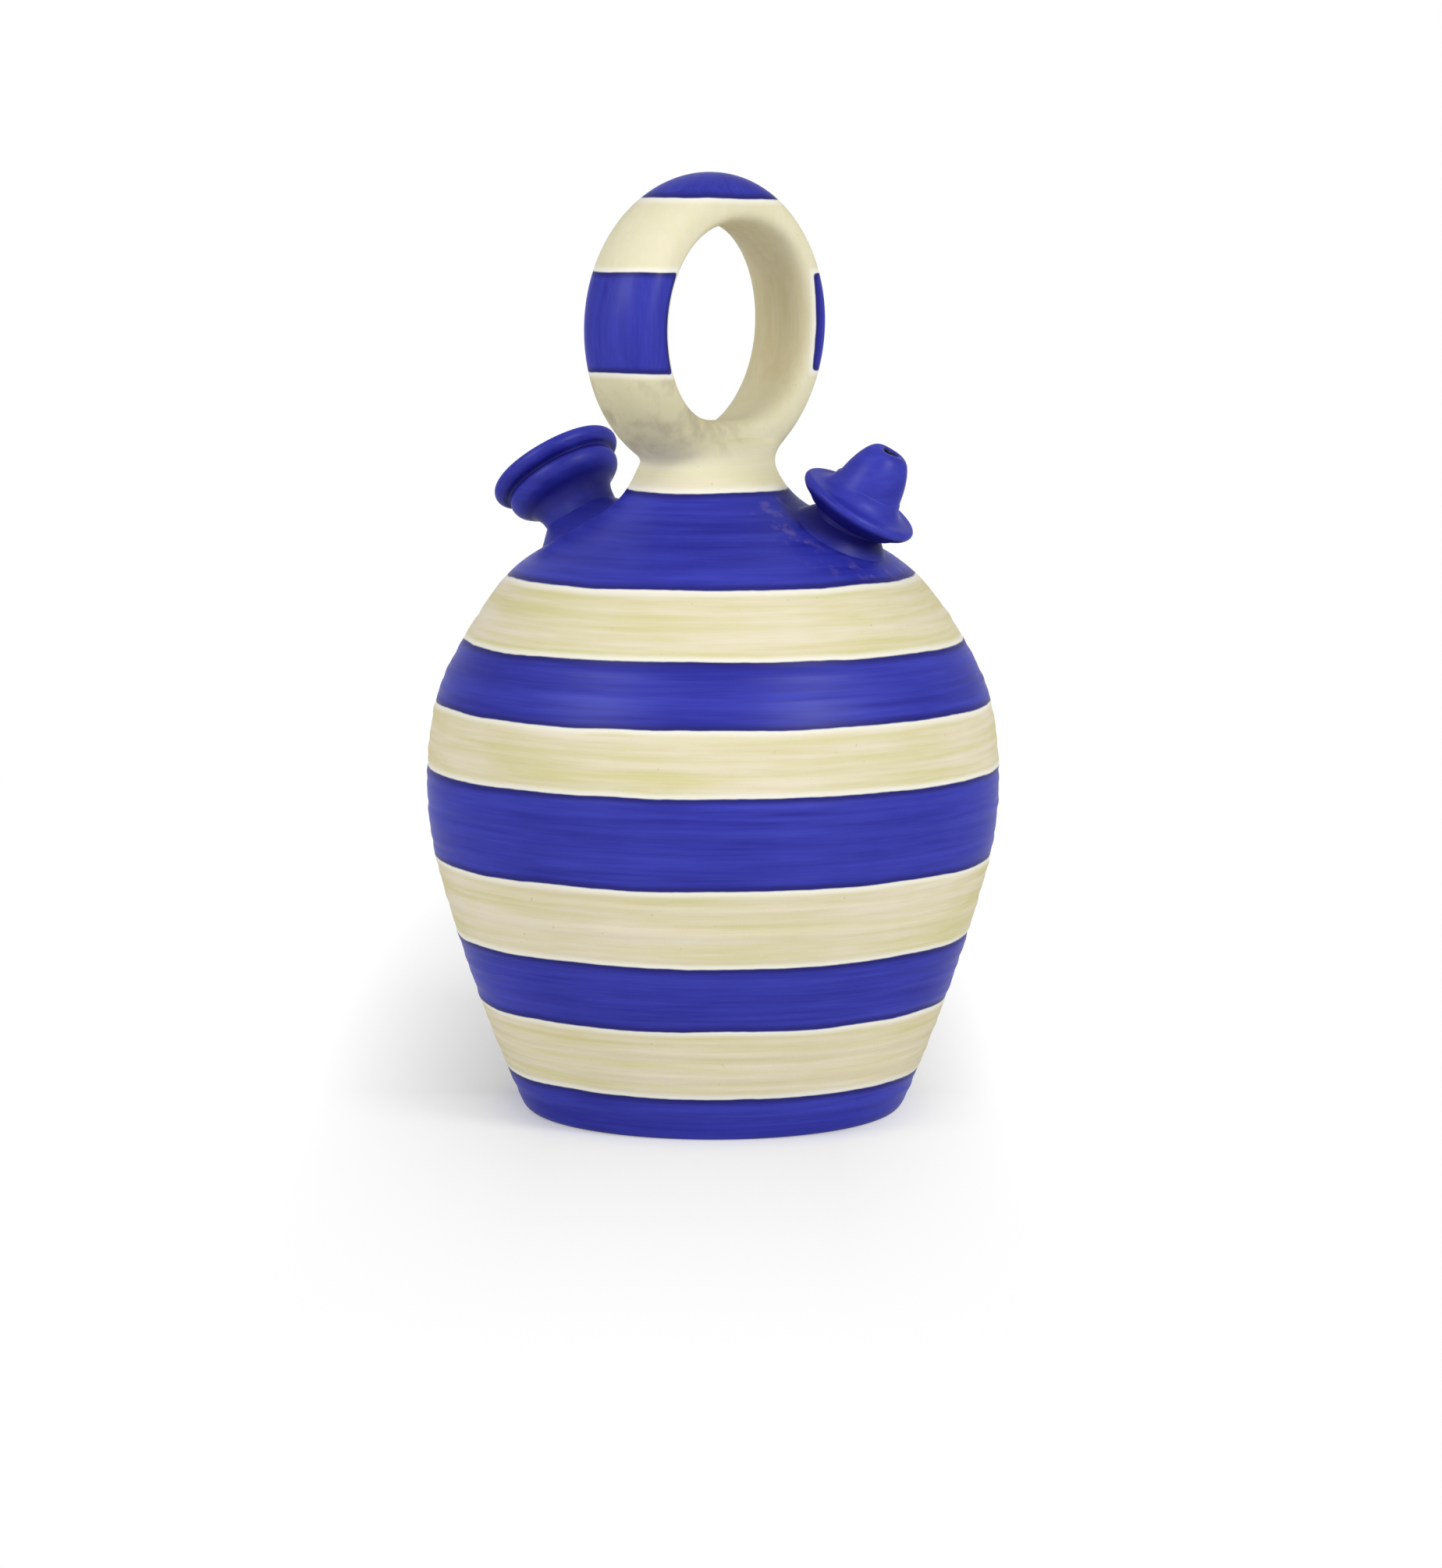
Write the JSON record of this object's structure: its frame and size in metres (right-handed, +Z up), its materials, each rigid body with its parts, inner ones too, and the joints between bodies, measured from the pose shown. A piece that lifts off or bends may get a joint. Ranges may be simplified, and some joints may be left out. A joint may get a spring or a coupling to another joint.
{
  "type": "spanish botijo",
  "caption": "Round-bellied clay water jug with a filling mouth, a drinking spout with a drip flange, and a carrying ring on a flared stem, in blue and cream bands.",
  "frame": {"origin": "middle of the flat base, on the surface that the jug stands on", "axes": "+Z up along the axis of the body, +X towards the drinking spout, and the filling mouth roughly along -X"},
  "size_m": [0.1972, 0.1972, 0.3232],
  "materials": {
    "banded_clay": "matte fired clay with a cream slip and painted blue bands",
    "blue_clay": "fired clay brushed all over with satin cobalt blue",
    "bare_clay": "bare fired clay on the inside"
  },
  "bodies": {
    "root": {"floor_disc": "banded_clay", "belly_wall": "banded_clay", "shoulder_dome": "banded_clay", "stem": "banded_clay", "ring_handle": "banded_clay", "floor_coil": "bare_clay", "girth_coil": "bare_clay", "mouth_collar": "blue_clay", "mouth_coil": "blue_clay", "spout_tube": "blue_clay", "drip_flange": "blue_clay", "spout_coil": "blue_clay"}
  },
  "joints": []
}
